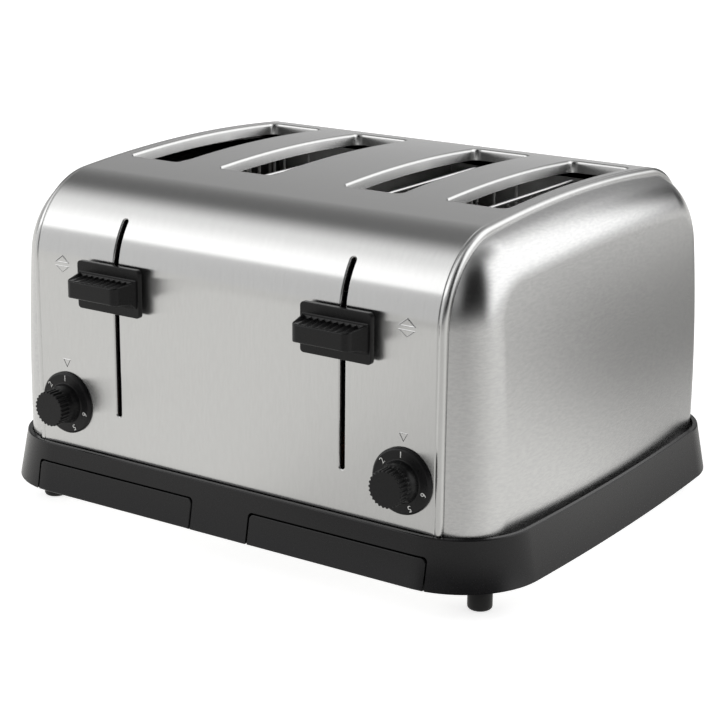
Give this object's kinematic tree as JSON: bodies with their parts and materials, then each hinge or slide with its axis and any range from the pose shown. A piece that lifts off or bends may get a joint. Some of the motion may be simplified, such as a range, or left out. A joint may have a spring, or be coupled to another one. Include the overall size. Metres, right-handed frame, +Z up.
{
  "type": "commercial toaster",
  "caption": "Wide pop-up toaster in brushed steel on a black base, with long bread slots, front levers, browning knobs and pull-out crumb trays.",
  "frame": {"origin": "on the floor under the middle of the whole toaster's box, feet and lever knobs included", "axes": "+X to the right seen from the front, +Y to the back, +Z up; the levers and knobs face -Y"},
  "size_m": [0.327, 0.2804, 0.189],
  "materials": {
    "wrap_steel": "brushed",
    "cover_steel": "brushed",
    "base_plastic": "fine textured satin",
    "knob_plastic": "satin",
    "foot_plastic": "satin",
    "chassis_sheet": "galvanised",
    "tray_sheet": "mill",
    "bright_wire": "bright",
    "spring_steel": "plain",
    "mica": "matt",
    "ribbon": "oxidised",
    "coil": "enamelled",
    "circuit_board": "matt",
    "control_body": "moulded",
    "terminal_plastic": "moulded",
    "screw_steel": "plated"
  },
  "bodies": {
    "root": {"wrap_housing": "wrap_steel", "end_cover_left": "cover_steel", "end_cover_right": "cover_steel", "base_moulding": "base_plastic", "tray_guides_left": "base_plastic", "tray_guides_right": "base_plastic", "bottom_plate": "chassis_sheet", "front_bulkhead": "chassis_sheet", "rear_bulkhead": "chassis_sheet", "centre_divider": "chassis_sheet", "heat_shield_left": "chassis_sheet", "heat_shield_right": "chassis_sheet", "foot_front_left": "foot_plastic", "foot_front_right": "foot_plastic", "foot_rear_left": "foot_plastic", "foot_rear_right": "foot_plastic", "cord_inlet_bush": "foot_plastic", "guide_rods_left": "bright_wire", "guide_rods_right": "bright_wire", "bread_guards_left": "bright_wire", "bread_guards_right": "bright_wire", "return_spring_left": "spring_steel", "return_spring_right": "spring_steel", "heater_board_inner_left": "mica", "heater_board_inner_right": "mica", "heater_board_middle_left": "mica", "heater_board_middle_right": "mica", "heater_board_outer_left": "mica", "heater_board_outer_right": "mica", "heater_ribbons_left": "ribbon", "heater_ribbons_right": "ribbon", "electromagnet_left": "coil", "electromagnet_right": "coil", "control_board_left": "circuit_board", "control_board_right": "circuit_board", "potentiometer_left": "control_body", "potentiometer_right": "control_body", "terminal_block": "terminal_plastic", "base_screws": "screw_steel", "chassis_screws": "screw_steel"},
    "carriage_left": {"carriage_left": "chassis_sheet", "armature_left": "chassis_sheet", "lever_arm_left": "chassis_sheet", "lever_knob_left": "knob_plastic", "bread_rack_near_left": "bright_wire", "bread_rack_far_left": "bright_wire"},
    "browning_control_left": {"browning_knob_left": "knob_plastic", "pot_shaft_left": "bright_wire"},
    "crumb_tray_left": {"tray_pan_left": "tray_sheet", "tray_front_left": "base_plastic"},
    "carriage_right": {"carriage_right": "chassis_sheet", "armature_right": "chassis_sheet", "lever_arm_right": "chassis_sheet", "lever_knob_right": "knob_plastic", "bread_rack_near_right": "bright_wire", "bread_rack_far_right": "bright_wire"},
    "browning_control_right": {"browning_knob_right": "knob_plastic", "pot_shaft_right": "bright_wire"},
    "crumb_tray_right": {"tray_pan_right": "tray_sheet", "tray_front_right": "base_plastic"}
  },
  "joints": [
    {"name": "lever_left_slide", "type": "slide", "parent": "root", "child": "carriage_left", "axis": [0, 0, 1], "range_m": [-0.062, 0.02], "stiffness_N_per_m": 150, "springref_m": 0.0092, "deforming": ["return_spring_left"]},
    {"name": "browning_left_turn", "type": "hinge", "parent": "root", "child": "browning_control_left", "pos_m": [-0.1059, -0.1202, 0.0649], "axis": [0, 1, 0], "range_deg": [0, 250]},
    {"name": "crumb_tray_left_slide", "type": "slide", "parent": "root", "child": "crumb_tray_left", "axis": [0, -1, 0], "range_m": [0, 0.2]},
    {"name": "lever_right_slide", "type": "slide", "parent": "root", "child": "carriage_right", "axis": [0, 0, 1], "range_m": [-0.062, 0.02], "stiffness_N_per_m": 150, "springref_m": 0.0092, "deforming": ["return_spring_right"]},
    {"name": "browning_right_turn", "type": "hinge", "parent": "root", "child": "browning_control_right", "pos_m": [0.1059, -0.1202, 0.0649], "axis": [0, 1, 0], "range_deg": [0, 250]},
    {"name": "crumb_tray_right_slide", "type": "slide", "parent": "root", "child": "crumb_tray_right", "axis": [0, -1, 0], "range_m": [0, 0.2]}
  ]
}
